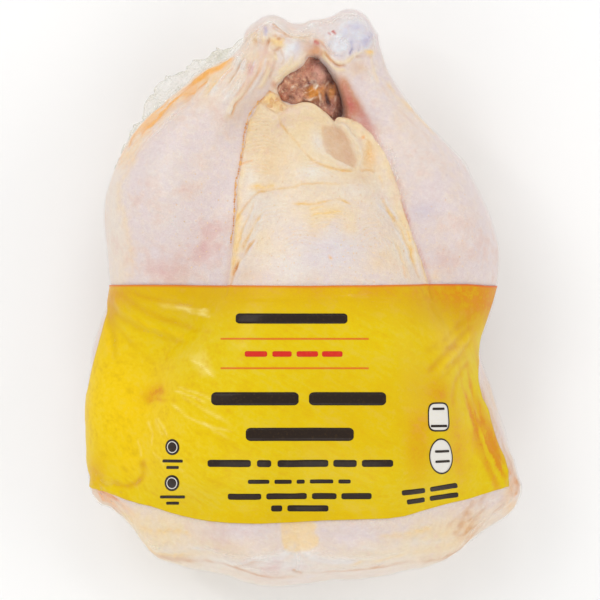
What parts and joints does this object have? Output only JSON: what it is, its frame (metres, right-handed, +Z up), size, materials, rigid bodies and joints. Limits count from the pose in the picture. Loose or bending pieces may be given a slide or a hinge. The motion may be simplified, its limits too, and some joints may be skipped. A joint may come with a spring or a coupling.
{
  "type": "whole raw chicken in a clear shrink bag",
  "caption": "Whole raw chicken lying on its back, legs drawn together, sealed in a clear shrink bag with a broad yellow printed band.",
  "frame": {"origin": "middle of the footprint, on the surface it lies on", "axes": "+Y towards the leg ends, -Y towards the neck end, +Z up out of the breast, +X across"},
  "size_m": [0.193, 0.2566, 0.1142],
  "materials": {
    "skin_in_film": "moist pale skin under glossy clear film",
    "print": "glossy yellow print on the film"
  },
  "bodies": {
    "root": {"bagged_chicken": "skin_in_film", "print_band": "print"}
  },
  "joints": []
}
